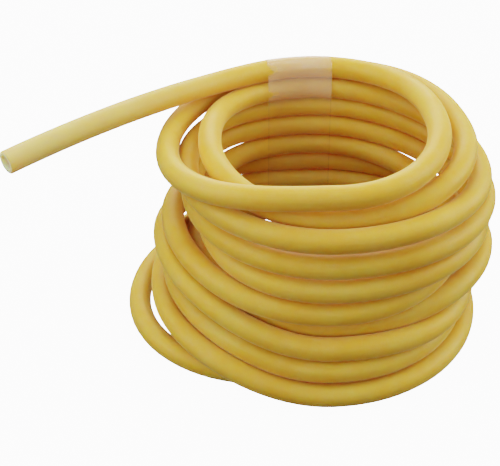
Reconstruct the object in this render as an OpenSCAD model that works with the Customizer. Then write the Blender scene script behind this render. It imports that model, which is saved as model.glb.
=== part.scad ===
// Rubber tubing coil: one length of soft amber latex tube, wound by hand into a loose
// stack of turns. The free end leaves the top turn, the far end is tucked behind the
// stack, and a band of clear tape holds the turns together at the back.
// The coil stands on z = 0 with its axis on the origin. The free end points to -x and
// the tape is at +y. All sizes are in millimetres.

/* [Tubing] */
// Diameter of the hole through the tube
tube_bore = 5; // [4:0.5:6]
// Thickness of the rubber wall
tube_wall = 1.5; // [1:0.25:2]

/* [Coil] */
// Coil diameter, measured across the tube's centre line
coil_d = 101; // [96:1:120]
// Clear space that the turns are stacked with
turn_gap = 0.3; // [0.3:0.1:1]
// Length of the straight free end
free_len = 82; // [40:1:140]
// How steeply the free end leaves the coil, in degrees
free_climb = 4.5; // [0:0.5:8]
// How far its tip sags below that line
free_sag = 7; // [0:0.5:14]

/* [Tape] */
// Width of the clear tape
tape_w = 25; // [12:1:25]
// Thickness of the taped band
tape_t = 0.3; // [0.2:0.1:0.5]
// Clear space between tape and rubber
tape_gap = 0.3; // [0.2:0.1:0.5]
// How far the tape sits round from the back, to the left, in degrees
tape_turn = 5; // [0:1:10]

/* [Part to show] */
// One piece by name, or all of them

/* [Hidden] */
tube_od = tube_bore + 2 * tube_wall;
pitch = tube_od + turn_gap;     // centre to centre, for two turns that lie together
coil_r = coil_d / 2;
turn_steps = 24;                // sections to a turn
sides = 10;                     // sides of the round section
free_steps = 4;                 // sections in the straight free end

// The lowest turn is lifted at the back, just enough for the tape to pass under it.
on_tape = 0.5 + (tape_t + tape_gap) / pitch;

// The winding, from the top turn down. It runs clockwise seen from above. Each row is
// one turn, read at the back, the right, the front and the left. Each pair is how far
// the tube lies outside the coil circle, and how high its centre is, both in pitches.
winding = [
    // back           right          front          left
    [[0.2, 9.0],     [-1.3, 9.5],   [-0.55, 9.3],  [0.5, 8.3]],    // flares out at left
    [[1.15, 8.47],   [-0.1, 8.8],   [-0.9, 8.1],   [-1.3, 8.65]],  // crosses under turn 1
    [[0.05, 8.03],   [0.65, 7.43],  [0.05, 7.7],   [-0.3, 7.5]],
    [[0.12, 7.05],   [0.95, 6.4],   [0, 6.45],     [-0.5, 6.45]],
    [[0, 6.07],      [0.8, 5.35],   [0.1, 5.35],   [-1.1, 5.55]],
    [[-0.05, 5.06],  [-0.2, 4.63],  [0.15, 4.25],  [0.4, 5.15]],
    [[0.12, 4.02],   [1.15, 3.85],  [-0.5, 3.09],  [-0.7, 3.95]],  // outside at right
    [[-0.1, 3.04],   [0.35, 2.3],   [0.4, 2.6],    [0.8, 4.2]],
    [[0.45, 2.15],   [0, 1.3],      [0.6, 1.62],   [0.35, 2.92]],
    [[-0.2, 1.38],   [-1, 0.5],     [-0.65, 0.5],  [2.1, 0.5]],    // swings out at left
    [[1.05, on_tape], [0.65, 0.5],  [0.95, 0.6],   [1.02, 1.6]],   // lies over turn 10
];
tucked_end = [1.5, 1.6];        // where the far end stops, at the back

// Where a turn bows between two of those places: [quarter turns from the start, how far
// out and how far up at the middle, in pitches]
bows = [
    [3.5, -0.15, -0.08],
    [4.5, 0, 0.12],      [5.5, 0.1, -0.03],
    [9.5, 0, 0.08],      [10.5, 0, 0.06],    [11.5, 0.1, 0],
    [15.5, 0.25, 0],
    [18.5, 0.1, -0.06],  [19.5, 0.06, 0.02],
    [20.5, 0.05, -0.03], [22.5, 0, -0.12],
    [26.5, 0.05, 0.22],  [27.5, 0.05, 0.15],
    [28.5, 0.1, 0.24],   [29.5, 0.2, -0.02],  [30.5, 0, 0.15],
    [34.5, 0.05, 0.09],  [34.8, 0.15, -0.1],
    [38.5, 0.15, 0],
    [42.5, 0.25, 0.45],
];

turns = len(winding);
stops = [for (row = winding) each row, tucked_end];

// Where the free end leaves the coil, as [x, y] in coil radii and the height in pitches
lead_off = [[-0.836, 0.607, 9.38], [-0.574, 0.808, 9.2], [-0.295, 0.975, 9.05]];
free_angle = 217.5;             // heading of the free end, degrees round from +x

function height(h) = tube_od / 2 + (h - 0.5) * pitch;
function eased(t) = (1 - cos(180 * t)) / 2;
function bowed(u, k = 0) = k == len(bows) ? [0, 0]
    : max(0, cos(90 * min(2, 2 * abs(u - bows[k][0])))) ^ 2 * [bows[k][1], bows[k][2]]
      + bowed(u, k + 1);

// [radius, height] of the winding at u quarter turns from its start
function wall_at(u) =
    let (i = min(floor(u + 0.0001), 4 * turns - 1), t = eased(u - i),
         p = stops[i] * (1 - t) + stops[i + 1] * t + bowed(u))
    [coil_r + p[0] * pitch, height(p[1])];
function coil_at(u) =
    let (w = wall_at(u), a = 90 - 90 * u) [w[0] * cos(a), w[0] * sin(a), w[1]];

// A smooth curve through four points, from b to c
function curve(a, b, c, d, t) =
    0.5 * (2 * b + (c - a) * t + (2 * a - 5 * b + 4 * c - d) * t * t
           + (3 * b - a - 3 * c + d) * t * t * t);

lead = [for (p = lead_off) [p[0] * coil_r, p[1] * coil_r, height(p[2])]];
function free_at(t) =
    lead[0] + [cos(free_angle), sin(free_angle), 0] * free_len * t
    + [0, 0, free_len * tan(free_climb) * t - free_sag * t * t];
joined = concat([free_at(0.1)], lead, [coil_at(0), coil_at(1 / 6)]);

route = concat(
    [for (k = [0 : free_steps - 1]) free_at(1 - k / free_steps)],
    [for (i = [1 : 3], s = [0 : 2]) curve(joined[i - 1], joined[i], joined[i + 1],
                                           joined[i + 2], s / 3)],
    [for (k = [0 : turns * turn_steps]) coil_at(4 * k / turn_steps)]);

function unit(v) = v / norm(v);
function heading(k) = unit(route[min(k + 1, len(route) - 1)] - route[max(k - 1, 0)]);
function ring(k, r) =
    let (t = heading(k), side = unit(cross(t, [0, 0, 1])), up = cross(side, t))
    [for (j = [0 : sides - 1]) let (a = 90 + 360 * j / sides)
        route[k] + r * (cos(a) * side + sin(a) * up)];

module tubing() {
    n = len(route);
    inner = n * sides;
    pts = concat([for (k = [0 : n - 1]) each ring(k, tube_od / 2)],
                 [for (k = [0 : n - 1]) each ring(k, tube_bore / 2)]);
    walls = [for (k = [0 : n - 2], j = [0 : sides - 1])
        let (a = k * sides + j, b = k * sides + (j + 1) % sides)
        each [[a, b, b + sides, a + sides],
              [inner + a, inner + a + sides, inner + b + sides, inner + b]]];
    last = (n - 1) * sides;
    ends = [for (j = [0 : sides - 1]) let (m = (j + 1) % sides)
        each [[j, inner + j, inner + m, m],
              [last + j, last + m, inner + last + m, inner + last + j]]];
    color([0.82, 0.66, 0.36]) polyhedron(points = pts, faces = concat(walls, ends));
}

// The band's outline: pulled tight round every section of tube that passes under it
module wall_outline(clear) {
    reach = tape_w / 2 + pitch;
    hull() for (p = route) let (q = turned(p, -tape_turn))
        if (q[1] > 0 && abs(q[0]) < reach)
            translate([norm([p[0], p[1]]), p[2]]) circle(r = tube_od / 2 + clear, $fn = 16);
}
function turned(p, a) = [p[0] * cos(a) - p[1] * sin(a), p[0] * sin(a) + p[1] * cos(a)];

// It follows the wall's curve, and its sides stay straight and parallel. Under the coil
// it is pressed flat on the surface.
module tape() {
    arc = 2 * asin(0.7 * tape_w / coil_r);
    color([0.85, 0.83, 0.86]) rotate([0, 0, tape_turn]) intersection() {
        rotate([0, 0, 90 - arc / 2]) rotate_extrude(angle = arc, $fn = 72) intersection() {
            difference() {
                wall_outline(tape_gap + tape_t);
                wall_outline(tape_gap);
            }
            square([2 * coil_r, 12 * pitch]);
        }
        translate([-tape_w / 2, 0, 0]) cube([tape_w, 2 * coil_r, 12 * pitch]);
    }
}

tubing();
tape();
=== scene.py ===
import bpy
import math
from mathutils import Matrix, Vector, noise


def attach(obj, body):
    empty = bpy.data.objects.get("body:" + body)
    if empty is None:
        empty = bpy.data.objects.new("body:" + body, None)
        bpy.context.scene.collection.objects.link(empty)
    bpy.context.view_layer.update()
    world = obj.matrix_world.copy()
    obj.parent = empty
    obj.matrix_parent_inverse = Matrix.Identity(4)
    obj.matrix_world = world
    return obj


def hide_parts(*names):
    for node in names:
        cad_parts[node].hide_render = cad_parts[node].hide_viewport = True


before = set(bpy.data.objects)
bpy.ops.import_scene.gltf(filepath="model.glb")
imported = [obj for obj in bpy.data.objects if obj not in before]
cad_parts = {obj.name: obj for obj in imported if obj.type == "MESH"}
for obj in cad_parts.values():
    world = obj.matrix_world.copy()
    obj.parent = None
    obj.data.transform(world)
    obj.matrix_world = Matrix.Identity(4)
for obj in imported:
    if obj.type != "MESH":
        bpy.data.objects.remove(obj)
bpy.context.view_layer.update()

# A soft amber latex tube, wound by hand into an upright coil of 11 turns and held at the
# back by a band of clear tape. The coil stands on z = 0 with its axis on the origin, and
# the free end points to -x. All sizes are in metres.
MM = 0.001
scene = bpy.context.scene
scene.view_settings.view_transform = "Filmic"
scene.view_settings.look = "High Contrast"

# ---------------------------------------------------------------- camera
# The photograph looks down at about 35 degrees, from in front and a little to the left.
VIEW_YAW, VIEW_DOWN = math.radians(2.9), math.radians(34.8)
cam = bpy.data.cameras.new("camera")
cam.sensor_width = 36.0
cam.lens = 78.0
cam.clip_start, cam.clip_end = 0.01, 20.0
cam_obj = bpy.data.objects.new("camera", cam)
scene.collection.objects.link(cam_obj)
cam_obj.location = (-0.0423, -0.3295, 0.2621)
look = Vector((math.sin(VIEW_YAW) * math.cos(VIEW_DOWN),
               math.cos(VIEW_YAW) * math.cos(VIEW_DOWN), -math.sin(VIEW_DOWN)))
cam_obj.rotation_euler = look.to_track_quat("-Z", "Y").to_euler()
scene.camera = cam_obj

# ---------------------------------------------------------------- the tube's route
# The same sizes, winding and functions as the part's source, here in metres. Only the
# steps are finer.
BORE, OD = 5.0 * MM, 8.0 * MM
SQUEEZE = 0.12 * MM             # real turns rest on each other, where the solids keep a gap
PITCH = OD + 0.3 * MM           # centre to centre, for two turns that lie together
COIL_R = 50.5 * MM
FREE_LEN, FREE_SAG = 82 * MM, 7 * MM
FREE_CLIMB, FREE_ANGLE = math.radians(4.5), math.radians(217.5)
ON_TAPE = 0.5 + 0.6 * MM / PITCH        # the lowest turn is lifted there by the tape
# Each row is one turn, from the top down. Each pair is how far the tube lies outside the
# coil circle, and how high its centre is, both in pitches.
WINDING = [
    # back         right         front         left
    [(0.2, 9.0),   (-1.3, 9.5),  (-0.55, 9.3), (0.5, 8.3)],
    [(1.15, 8.47), (-0.1, 8.8),  (-0.9, 8.1),  (-1.3, 8.65)],
    [(0.05, 8.03), (0.65, 7.43), (0.05, 7.7),  (-0.3, 7.5)],
    [(0.12, 7.05), (0.95, 6.4),  (0, 6.45),    (-0.5, 6.45)],
    [(0, 6.07),    (0.8, 5.35),  (0.1, 5.35),  (-1.1, 5.55)],
    [(-0.05, 5.06), (-0.2, 4.63), (0.15, 4.25), (0.4, 5.15)],
    [(0.12, 4.02), (1.15, 3.85), (-0.5, 3.09), (-0.7, 3.95)],
    [(-0.1, 3.04), (0.35, 2.3),  (0.4, 2.6),   (0.8, 4.2)],
    [(0.45, 2.15), (0, 1.3),     (0.6, 1.62),  (0.35, 2.92)],
    [(-0.2, 1.38), (-1, 0.5),    (-0.65, 0.5), (2.1, 0.5)],
    [(1.05, ON_TAPE), (0.65, 0.5), (0.95, 0.6), (1.02, 1.6)],
]
TUCKED_END = (1.5, 1.6)
# Where a turn bows between two stops: quarter turns from the start, how far out, how far up
BOWS = [
    (3.5, -0.15, -0.08), (4.5, 0, 0.12), (5.5, 0.1, -0.03),
    (9.5, 0, 0.08), (10.5, 0, 0.06), (11.5, 0.1, 0), (15.5, 0.25, 0),
    (18.5, 0.1, -0.06), (19.5, 0.06, 0.02), (20.5, 0.05, -0.03), (22.5, 0, -0.12),
    (26.5, 0.05, 0.22), (27.5, 0.05, 0.15), (28.5, 0.1, 0.24), (29.5, 0.2, -0.02),
    (30.5, 0, 0.15), (34.5, 0.05, 0.09), (34.8, 0.15, -0.1), (38.5, 0.15, 0),
    (42.5, 0.25, 0.45),
]
STOPS = [p for row in WINDING for p in row] + [TUCKED_END]
TURNS = len(WINDING)
PER_TURN = 96                   # sections to a turn
FREE_STEPS, LEAD_STEPS = 24, 10  # sections in the free end, and between two lead-off points


def height(h):
    return OD / 2 + (h - 0.5) * PITCH


def coil_at(u):
    """The tube's centre at u quarter turns from the start of the winding."""
    i = min(int(math.floor(u + 1e-6)), 4 * TURNS - 1)
    t = (1 - math.cos(math.pi * (u - i))) / 2
    out = STOPS[i][0] * (1 - t) + STOPS[i + 1][0] * t
    up = STOPS[i][1] * (1 - t) + STOPS[i + 1][1] * t
    for middle, bow_out, bow_up in BOWS:
        near = max(0.0, math.cos(math.pi / 2 * min(2, 2 * abs(u - middle)))) ** 2
        out += near * bow_out
        up += near * bow_up
    r, a = COIL_R + out * PITCH, math.radians(90 - 90 * u)
    return Vector((r * math.cos(a), r * math.sin(a), height(up)))


def curve(a, b, c, d, t):
    """A smooth curve through four points, from b to c."""
    return 0.5 * (2 * b + (c - a) * t + (2 * a - 5 * b + 4 * c - d) * t * t
                  + (3 * b - a - 3 * c + d) * t * t * t)


# where the free end leaves the coil: x and y in coil radii, and the height in pitches
LEAD = [Vector((x * COIL_R, y * COIL_R, height(h))) for x, y, h in
        ((-0.836, 0.607, 9.38), (-0.574, 0.808, 9.2), (-0.295, 0.975, 9.05))]


def free_at(t):
    return LEAD[0] + Vector((math.cos(FREE_ANGLE) * FREE_LEN * t,
                             math.sin(FREE_ANGLE) * FREE_LEN * t,
                             FREE_LEN * math.tan(FREE_CLIMB) * t - FREE_SAG * t * t))


JOINED = [free_at(0.1)] + LEAD + [coil_at(0), coil_at(1 / 6)]
route = [free_at(1 - k / FREE_STEPS) for k in range(FREE_STEPS)]
for i in range(1, 4):
    route += [curve(*JOINED[i - 1:i + 3], s / LEAD_STEPS) for s in range(LEAD_STEPS)]
route += [coil_at(4 * k / PER_TURN) for k in range(TURNS * PER_TURN + 1)]


# ---------------------------------------------------------------- helpers
def link(obj):
    scene.collection.objects.link(obj)
    return obj


def mesh_object(name, verts, faces, *mats, smooth=True):
    me = bpy.data.meshes.new(name)
    me.from_pydata([tuple(v) for v in verts], [], faces)
    for mat in mats:
        me.materials.append(mat)
    if smooth:
        me.polygons.foreach_set("use_smooth", [True] * len(me.polygons))
    me.update()
    return link(bpy.data.objects.new(name, me))


def give_uv(obj, name, corners):
    layer = obj.data.uv_layers.new(name=name)
    layer.data.foreach_set("uv", [c for corner in corners for c in corner])


class Nodes:
    """A short way to write a material's nodes."""

    def __init__(self, name):
        self.mat = bpy.data.materials.new(name)
        self.mat.use_nodes = True
        self.t = self.mat.node_tree
        self.bsdf = self.t.nodes["Principled BSDF"]

    def add(self, kind, **values):
        n = self.t.nodes.new(kind)
        for k, v in values.items():
            setattr(n, k, v)
        return n

    def wire(self, a, b):
        self.t.links.new(a, b)

    def drive(self, **sockets):
        """Wires outputs to the shader's sockets, Base_Color= for Base Color."""
        for k, v in sockets.items():
            self.wire(v, self.bsdf.inputs[k.replace("_", " ")])

    def set(self, **sockets):
        """Sets values that are the same all over on the shader's own sockets."""
        for k, v in sockets.items():
            self.bsdf.inputs[k.replace("_", " ")].default_value = v

    def fill(self, sock, v):
        if isinstance(v, (int, float)):
            sock.default_value = v
        elif isinstance(v, tuple):
            sock.default_value = (*v, 1.0)
        else:
            self.wire(v, sock)

    def parts(self, vec):
        n = self.add("ShaderNodeSeparateXYZ")
        self.wire(vec, n.inputs["Vector"])
        return n.outputs

    def noise(self, vec, scale, detail=4.0, rough=0.55, distortion=0.0):
        n = self.add("ShaderNodeTexNoise")
        n.inputs["Scale"].default_value = scale
        n.inputs["Detail"].default_value = detail
        n.inputs["Roughness"].default_value = rough
        n.inputs["Distortion"].default_value = distortion
        self.wire(vec, n.inputs["Vector"])
        return n.outputs["Fac"]

    def ramp(self, fac, stops):
        n = self.add("ShaderNodeValToRGB")
        e = n.color_ramp.elements
        while len(e) < len(stops):
            e.new(0.5)
        for el, (pos, col) in zip(e, stops):
            el.position = pos
            el.color = (*col, 1.0) if isinstance(col, tuple) else (col, col, col, 1.0)
        self.wire(fac, n.inputs["Fac"])
        return n.outputs["Color"]

    def mix(self, fac, a, b):
        n = self.add("ShaderNodeMix", data_type="RGBA")
        for sock, v in ((n.inputs[0], fac), (n.inputs[6], a), (n.inputs[7], b)):
            self.fill(sock, v)
        return n.outputs[2]

    def math(self, op, a, b):
        n = self.add("ShaderNodeMath", operation=op)
        for sock, v in zip(n.inputs, (a, b)):
            self.fill(sock, v)
        return n.outputs[0]

    def bump(self, h, strength, distance, normal=None):
        n = self.add("ShaderNodeBump")
        n.inputs["Strength"].default_value = strength
        n.inputs["Distance"].default_value = distance
        self.wire(h, n.inputs["Height"])
        if normal is not None:
            self.wire(normal, n.inputs["Normal"])
        return n.outputs["Normal"]


# ---------------------------------------------------------------- materials
AMBER = [(0.3, (0.76, 0.355, 0.050)), (0.52, (0.80, 0.390, 0.062)), (0.75, (0.83, 0.425, 0.080))]
AMBER_DEEP = (0.74, 0.330, 0.042)
# the first is a pale bloom in patches; the second paints the free end paler, as painted light
BLOOM, FREE_END_PAINTED_LIGHT = (0.80, 0.56, 0.30), (0.86, 0.66, 0.36)
SPECK = (0.42, 0.25, 0.03)
PALE_CREAM = (0.90, 0.80, 0.56)
FINE_GRAIN, CUT_GRAIN = 0.30, 0.8       # how strong the finest bump is
FILM_TINT = [(0.3, (0.84, 0.66, 0.48)), (0.7, (0.92, 0.76, 0.60))]
FLOOR_TINT = [(0.3, (0.52, 0.52, 0.515)), (0.7, (0.55, 0.55, 0.545))]


def rubber(name, cream=0.0, grain=FINE_GRAIN):
    n = Nodes(name)
    xyz = n.add("ShaderNodeTexCoord").outputs["Object"]
    uv = n.add("ShaderNodeUVMap", uv_map="along").outputs["UV"]
    cloud = n.noise(xyz, 34.0, 3.0, 0.5)
    blotch = n.noise(xyz, 190.0, 4.0, 0.6, 0.4)
    dust = n.noise(xyz, 900.0, 5.0, 0.7)
    # die lines that run along the tube: fine across it, long along it
    stretch = n.add("ShaderNodeMapping")
    stretch.inputs["Scale"].default_value = (46.0, 5.0, 1.0)
    n.wire(uv, stretch.inputs["Vector"])
    lines = n.noise(stretch.outputs["Vector"], 1.0, 3.0, 0.6)
    body = n.ramp(cloud, AMBER)
    body = n.mix(n.ramp(blotch, [(0.38, 0.0), (0.72, 0.30)]), body, AMBER_DEEP)
    # a thin pale bloom lies on it in patches, with a few dark specks
    bloom = n.math("MULTIPLY", n.ramp(n.noise(xyz, 75.0, 5.0, 0.65), [(0.42, 0.02), (0.7, 0.18)]),
                   n.ramp(dust, [(0.35, 0.5), (0.65, 1.0)]))
    body = n.mix(bloom, body, BLOOM)
    body = n.mix(n.ramp(dust, [(0.68, 0.0), (0.80, 0.30)]), body, SPECK)
    # the free end is painted paler, fading out over its first 10 cm: painted light on the free end
    along = n.parts(uv)["Y"]
    body = n.mix(n.ramp(along, [(0.05, 0.42), (1.0, 0.0)]), body, FREE_END_PAINTED_LIGHT)
    # the bore and the cut faces are mixed 70 % toward a pale cream
    if cream:
        body = n.mix(cream, body, PALE_CREAM)
    rough = n.ramp(n.noise(xyz, 130.0, 4.0, 0.6), [(0.3, 0.44), (0.7, 0.58)])
    b = n.bump(lines, 0.35, 0.18 * MM)
    b = n.bump(n.noise(xyz, 520.0, 4.0, 0.6), 0.25, 0.12 * MM, b)
    b = n.bump(n.noise(xyz, 2600.0, 3.0, 0.6), grain, 0.05 * MM, b)
    n.drive(Base_Color=body, Roughness=rough, Normal=b)
    n.set(Subsurface_Weight=1.0, Subsurface_Radius=(1.0, 0.5, 0.13), Subsurface_Scale=9 * MM,
          Specular_IOR_Level=0.3, IOR=1.52,
          Sheen_Weight=0.4, Sheen_Roughness=0.4, Sheen_Tint=(1.0, 0.82, 0.5, 1.0))
    return n.mat


def film():
    """Clear tape, painted milky from about 62 mm up: painted light where the film crosses the top
    turns.
    """
    n = Nodes("clear_film")
    xyz = n.add("ShaderNodeTexCoord").outputs["Object"]
    uv = n.add("ShaderNodeUVMap", uv_map="across").outputs["UV"]
    haze = n.noise(xyz, 160.0, 4.0, 0.6, 0.6)
    rough = n.ramp(n.noise(xyz, 300.0, 3.0, 0.5), [(0.3, 0.10), (0.7, 0.24)])
    # the ramp reads the height in decimetres: the painted milky light starts at 62 to 67 mm
    painted_top_light = n.ramp(n.math("MULTIPLY", n.parts(xyz)["Z"], 10.0), [(0.62, 0.015), (0.67, 0.20)])
    edge = n.ramp(n.parts(uv)["X"], [(0.0, 0.06), (0.02, 0.0), (0.98, 0.0), (1.0, 0.06)])
    patchy = n.ramp(haze, [(0.3, 0.75), (0.7, 1.15)])
    n.drive(Base_Color=n.ramp(haze, FILM_TINT), Roughness=rough,
            Alpha=n.math("ADD", n.math("MULTIPLY", painted_top_light, patchy), edge),
            Normal=n.bump(n.noise(xyz, 240.0, 4.0, 0.55, 0.8), 0.5, 0.25 * MM))
    n.set(IOR=1.48, Coat_Weight=1.0, Coat_Roughness=0.06)
    return n.mat


def floor_material():
    """A white glowing floor, painted dark within 49 mm of the axis: painted shade on the floor
    inside the coil.
    """
    n = Nodes("pale_floor")
    xyz = n.add("ShaderNodeTexCoord").outputs["Object"]
    away = n.add("ShaderNodeVectorMath", operation="LENGTH")
    n.wire(xyz, away.inputs[0])
    # the ramp reads the distance from the axis in decimetres: dark to 49 mm, full from 53 mm; the
    # dark disc is painted shade
    glow_with_painted_core_shade = n.ramp(n.math("MULTIPLY", away.outputs["Value"], 10.0), [(0.49, 0.0), (0.53, 1.0)])
    n.drive(Base_Color=n.ramp(n.noise(xyz, 3.0, 3.0, 0.5), FLOOR_TINT), Emission_Color=glow_with_painted_core_shade)
    n.set(Roughness=0.85, Specular_IOR_Level=0.1, Emission_Strength=5.0)
    return n.mat


# ---------------------------------------------------------------- the tube
SIDES_OUT, SIDES_IN = 24, 12    # sides of the skin and of the bore
LIP = 0.5 * MM                  # a hand-cut edge is rounded over this much of the length
LIP_OUT, LIP_IN = 0.35 * MM, 0.2 * MM
LIP_RINGS = [0, 0.12 * MM, 0.25 * MM, LIP]
WANDER, WANDER_SCALE = 0.04 * MM, 60    # the wall wanders by a few hundredths
UV_PER_METRE = 10               # the materials read the tube's length in decimetres
CUT_UV = (0.5, 0.1)             # both cut faces look like the first centimetre


def with_lips(pts):
    """Gives each cut end its own close rings, for the rounded lip."""
    a = (pts[1] - pts[0]).normalized()
    b = (pts[-2] - pts[-1]).normalized()
    return ([pts[0] + a * d for d in LIP_RINGS] + pts[1:-1]
            + [pts[-1] + b * d for d in LIP_RINGS[::-1]])


def hollow_tube(name, pts):
    """The tube along pts: its skin, its bore and the two ring-shaped cut faces."""
    n = len(pts)
    run = [0.0]
    for a, b in zip(pts, pts[1:]):
        run.append(run[-1] + (b - a).length)
    total = run[-1]
    to_end = [min(r, total - r) for r in run]
    verts, faces, fmat, corners = [], [], [], []

    def radius_out(k, a):
        lip = LIP_OUT * max(0.0, 1 - to_end[k] / LIP) ** 2
        p = pts[k] * WANDER_SCALE
        wander = noise.noise(Vector((p.x + 3 * math.cos(a), p.y + 3 * math.sin(a), p.z)))
        return OD / 2 + SQUEEZE - lip + WANDER * wander

    def radius_in(k, a):
        return BORE / 2 + LIP_IN * max(0.0, 1 - to_end[k] / LIP)

    def add_face(face, uv, mat, flip):
        if flip:
            face, uv = face[::-1], uv[::-1]
        faces.append(face)
        corners.extend(uv)
        fmat.append(mat)

    def add_skin(sides, radius, mat, flip):
        base = len(verts)
        for k in range(n):
            head = (pts[min(k + 1, n - 1)] - pts[max(k - 1, 0)]).normalized()
            side = head.cross(Vector((0, 0, 1))).normalized()
            up = side.cross(head)
            for j in range(sides):
                a = 2 * math.pi * j / sides
                r = radius(k, a)
                verts.append(pts[k] + side * (r * math.cos(a)) + up * (r * math.sin(a)))
        for k in range(n - 1):
            here, there = run[k] * UV_PER_METRE, run[k + 1] * UV_PER_METRE
            for j in range(sides):
                a, b = base + k * sides + j, base + k * sides + (j + 1) % sides
                u, v = j / sides, (j + 1) / sides
                add_face([a, b, b + sides, a + sides],
                         [(u, here), (v, here), (v, there), (u, there)], mat, flip)
        return base

    outer = add_skin(SIDES_OUT, radius_out, 0, False)
    inner = add_skin(SIDES_IN, radius_in, 1, True)
    step = SIDES_OUT // SIDES_IN
    for k, flip in ((0, False), (n - 1, True)):
        for j in range(SIDES_IN):
            ring_in = [inner + k * SIDES_IN + (j + s) % SIDES_IN for s in (0, 1)]
            ring_out = [outer + k * SIDES_OUT + (j * step + s) % SIDES_OUT for s in range(step + 1)]
            face = ring_in + ring_out[::-1]
            add_face(face, [CUT_UV] * len(face), 2, flip)
    obj = mesh_object(name, verts, faces, rubber("amber_latex"),
                      rubber("amber_latex_bore", cream=0.7),
                      rubber("amber_latex_cut", cream=0.7, grain=CUT_GRAIN))
    obj.data.polygons.foreach_set("material_index", fmat)
    give_uv(obj, "along", corners)
    obj.data.update()
    return obj, total


tube, tube_length = hollow_tube("latex_tube", with_lips(route))
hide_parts("tubing")
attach(tube, "root")

# ---------------------------------------------------------------- the tape
TAPE_W, TAPE_TURN = 25 * MM, math.radians(5)
TAPE_COLS, TAPE_ROUND = 40, 220         # steps across the tape and round the turns
TAPE_CLEAR, TAPE_THICK = SQUEEZE + 0.06 * MM, 0.08 * MM
TAPE_START = 40 * MM                    # the height where the steps round the band start
WRAP_SIDES = 40                         # points round each tube that the tape passes over
OVER_FLOOR = 0.2 * MM
# the film's waves, its finer ripples and its uneven edges: height, then how close together
WAVES = (0.10 * MM, (180, 140, 140))
RIPPLES = (0.05 * MM, (900, 300, 300))
EDGES = (0.06 * MM, (0, 700, 700))
STANDS_OFF = 0.10 * MM                  # the film's inner side clears the outline by this


def turned(x, y, angle):
    c, s = math.cos(angle), math.sin(angle)
    return x * c - y * s, x * s + y * c


# the route in the tape's own frame, where the tape's middle plane is x = 0
local = [(*turned(p.x, p.y, -TAPE_TURN), p.z) for p in route]


def cross2(o, a, b):
    """Above zero where o, a, b turn to the left."""
    return (a[0] - o[0]) * (b[1] - o[1]) - (a[1] - o[1]) * (b[0] - o[0])


def hull2(points):
    """The convex outline round some points in a plane, as a loop."""
    pts = sorted(set(points))
    halves = []
    for seq in (pts, pts[::-1]):
        h = []
        for p in seq:
            while len(h) > 1 and cross2(h[-2], h[-1], p) <= 0:
                h.pop()
            h.append(p)
        halves += h[:-1]
    return halves


def wrap_at(x):
    """The taut outline round every tube that crosses the plane x at the back, as (y, z)."""
    r = OD / 2 + TAPE_CLEAR
    ring = []
    for a, b in zip(local, local[1:]):
        if (a[0] - x) * (b[0] - x) <= 0 and a[1] > 0 and abs(a[0] - b[0]) > 1e-9:
            t = (x - a[0]) / (b[0] - a[0])
            y, z = a[1] + (b[1] - a[1]) * t, a[2] + (b[2] - a[2]) * t
            for k in range(WRAP_SIDES):
                w = 2 * math.pi * k / WRAP_SIDES
                ring.append((y + r * math.cos(w), z + r * math.sin(w)))
    return hull2(ring)


def resample(loop, count):
    """Even steps round the loop, from its outer side at the height TAPE_START."""
    for i in range(len(loop)):
        a, b = loop[i - 1], loop[i]
        if a[1] < TAPE_START <= b[1] and a[0] > COIL_R:
            t = (TAPE_START - a[1]) / (b[1] - a[1])
            first = (a[0] + (b[0] - a[0]) * t, TAPE_START)
            loop = [first] + loop[i:] + loop[:i] + [first]
            break
    run = [0.0]
    for a, b in zip(loop, loop[1:]):
        run.append(run[-1] + math.dist(a, b))
    out, j = [], 0
    for k in range(count):
        s = run[-1] * k / count
        while run[j + 1] < s:
            j += 1
        t = (s - run[j]) / max(run[j + 1] - run[j], 1e-12)
        out.append((loop[j][0] + (loop[j + 1][0] - loop[j][0]) * t,
                    loop[j][1] + (loop[j + 1][1] - loop[j][1]) * t))
    return out


def uneven(kind, x, y, z):
    size, close = kind
    return size * noise.noise(Vector((x * close[0], y * close[1], z * close[2])))


def tape_band(name, cols, count):
    """A closed band with an inner and an outer side and slightly uneven edges."""
    rows = []
    for i in range(cols + 1):
        x = TAPE_W * (i / cols - 0.5)
        rows.append([(x, y, z) for y, z in resample(wrap_at(x), count)])
    verts, faces = [], []
    for layer in (0, 1):
        for i, row in enumerate(rows):
            for k, (x, y, z) in enumerate(row):
                a, b = row[k - 1], row[(k + 1) % count]
                ty, tz = b[1] - a[1], b[2] - a[2]
                m = math.hypot(ty, tz) or 1.0
                ripple = uneven(WAVES, x, y, z) + uneven(RIPPLES, x, y, z)
                d = layer * TAPE_THICK + ripple + STANDS_OFF
                if i in (0, cols):
                    x += uneven(EDGES, x, y, z)
                px, py = turned(x, y + tz / m * d, TAPE_TURN)
                verts.append(Vector((px, py, max(z - ty / m * d, OVER_FLOOR))))

    def at(layer, i, k):
        return (layer * (cols + 1) + i) * count + k % count

    for layer in (0, 1):
        for i in range(cols):
            for k in range(count):
                quad = [at(layer, i, k), at(layer, i, k + 1),
                        at(layer, i + 1, k + 1), at(layer, i + 1, k)]
                faces.append(quad if layer else quad[::-1])
    for i in (0, cols):
        for k in range(count):
            quad = [at(0, i, k), at(0, i, k + 1), at(1, i, k + 1), at(1, i, k)]
            faces.append(quad if i == 0 else quad[::-1])
    obj = mesh_object(name, verts, faces, film())
    place = [(v // count % (cols + 1) / cols, v % count / count) for v in range(len(verts))]
    give_uv(obj, "across", [place[loop.vertex_index] for loop in obj.data.loops])
    return obj


tape = tape_band("clear_tape", TAPE_COLS, TAPE_ROUND)
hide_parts("tape")
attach(tape, "root")

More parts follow.
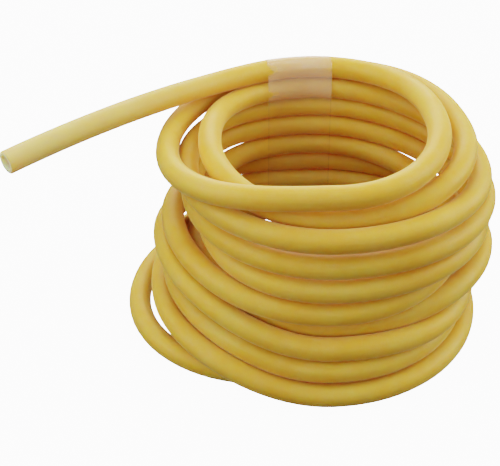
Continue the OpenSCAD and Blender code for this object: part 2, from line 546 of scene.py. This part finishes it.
# ---------------------------------------------------------------- floor and light
FLOOR_REACH, FLOOR_Z = 12.0, -0.2 * MM
floor = mesh_object("floor", [(x * FLOOR_REACH, y * FLOOR_REACH, FLOOR_Z)
                              for x, y in ((-1, -1), (1, -1), (1, 1), (-1, 1))],
                    [[0, 1, 2, 3]], floor_material(), smooth=False)
# the table lights only itself, so the rubber keeps its own colour low down
floor.visible_diffuse = False
floor.visible_glossy = False

# name, place, the point it is aimed at, size and watts
LIGHTS = [
    ("top", (-0.04, 0.02, 0.50), (0, 0, 0.04), 0.45, 1.1),
    ("front", (0.0, -0.80, 0.62), (0, 0, 0.06), 0.7, 2.7),
    ("left", (-0.70, -0.15, 0.45), (-0.03, 0, 0.05), 0.6, 3.3),
    ("right", (0.75, 0.10, 0.40), (0, 0, 0.04), 0.6, 4.8),
    ("back", (0.0, 0.75, 0.50), (0, 0, 0.05), 0.6, 3.6),
]
for name, place, target, size, watts in LIGHTS:
    light = bpy.data.lights.new(name, "AREA")
    light.shape = "SQUARE"
    light.size = size
    light.energy = watts
    lamp = link(bpy.data.objects.new(name, light))
    lamp.location = place
    lamp.rotation_euler = (Vector(target) - Vector(place)).to_track_quat("-Z", "Y").to_euler()

# a dim studio: a pale band above the horizon, darker overhead, dark below
SKY = [(0.0, 0.05), (0.03, 0.5), (0.4, 0.5), (0.7, 0.1)]
world = bpy.data.worlds.new("studio")
scene.world = world
world.use_nodes = True
sky = world.node_tree
aim = sky.nodes.new("ShaderNodeTexCoord")
split = sky.nodes.new("ShaderNodeSeparateXYZ")
shade = sky.nodes.new("ShaderNodeValToRGB")
sky.links.new(aim.outputs["Generated"], split.inputs["Vector"])
sky.links.new(split.outputs["Z"], shade.inputs["Fac"])
sky.links.new(shade.outputs["Color"], sky.nodes["Background"].inputs["Color"])
while len(shade.color_ramp.elements) < len(SKY):
    shade.color_ramp.elements.new(0.5)
for element, (at, grey) in zip(shade.color_ramp.elements, SKY):
    element.position, element.color = at, (grey, grey, grey, 1)
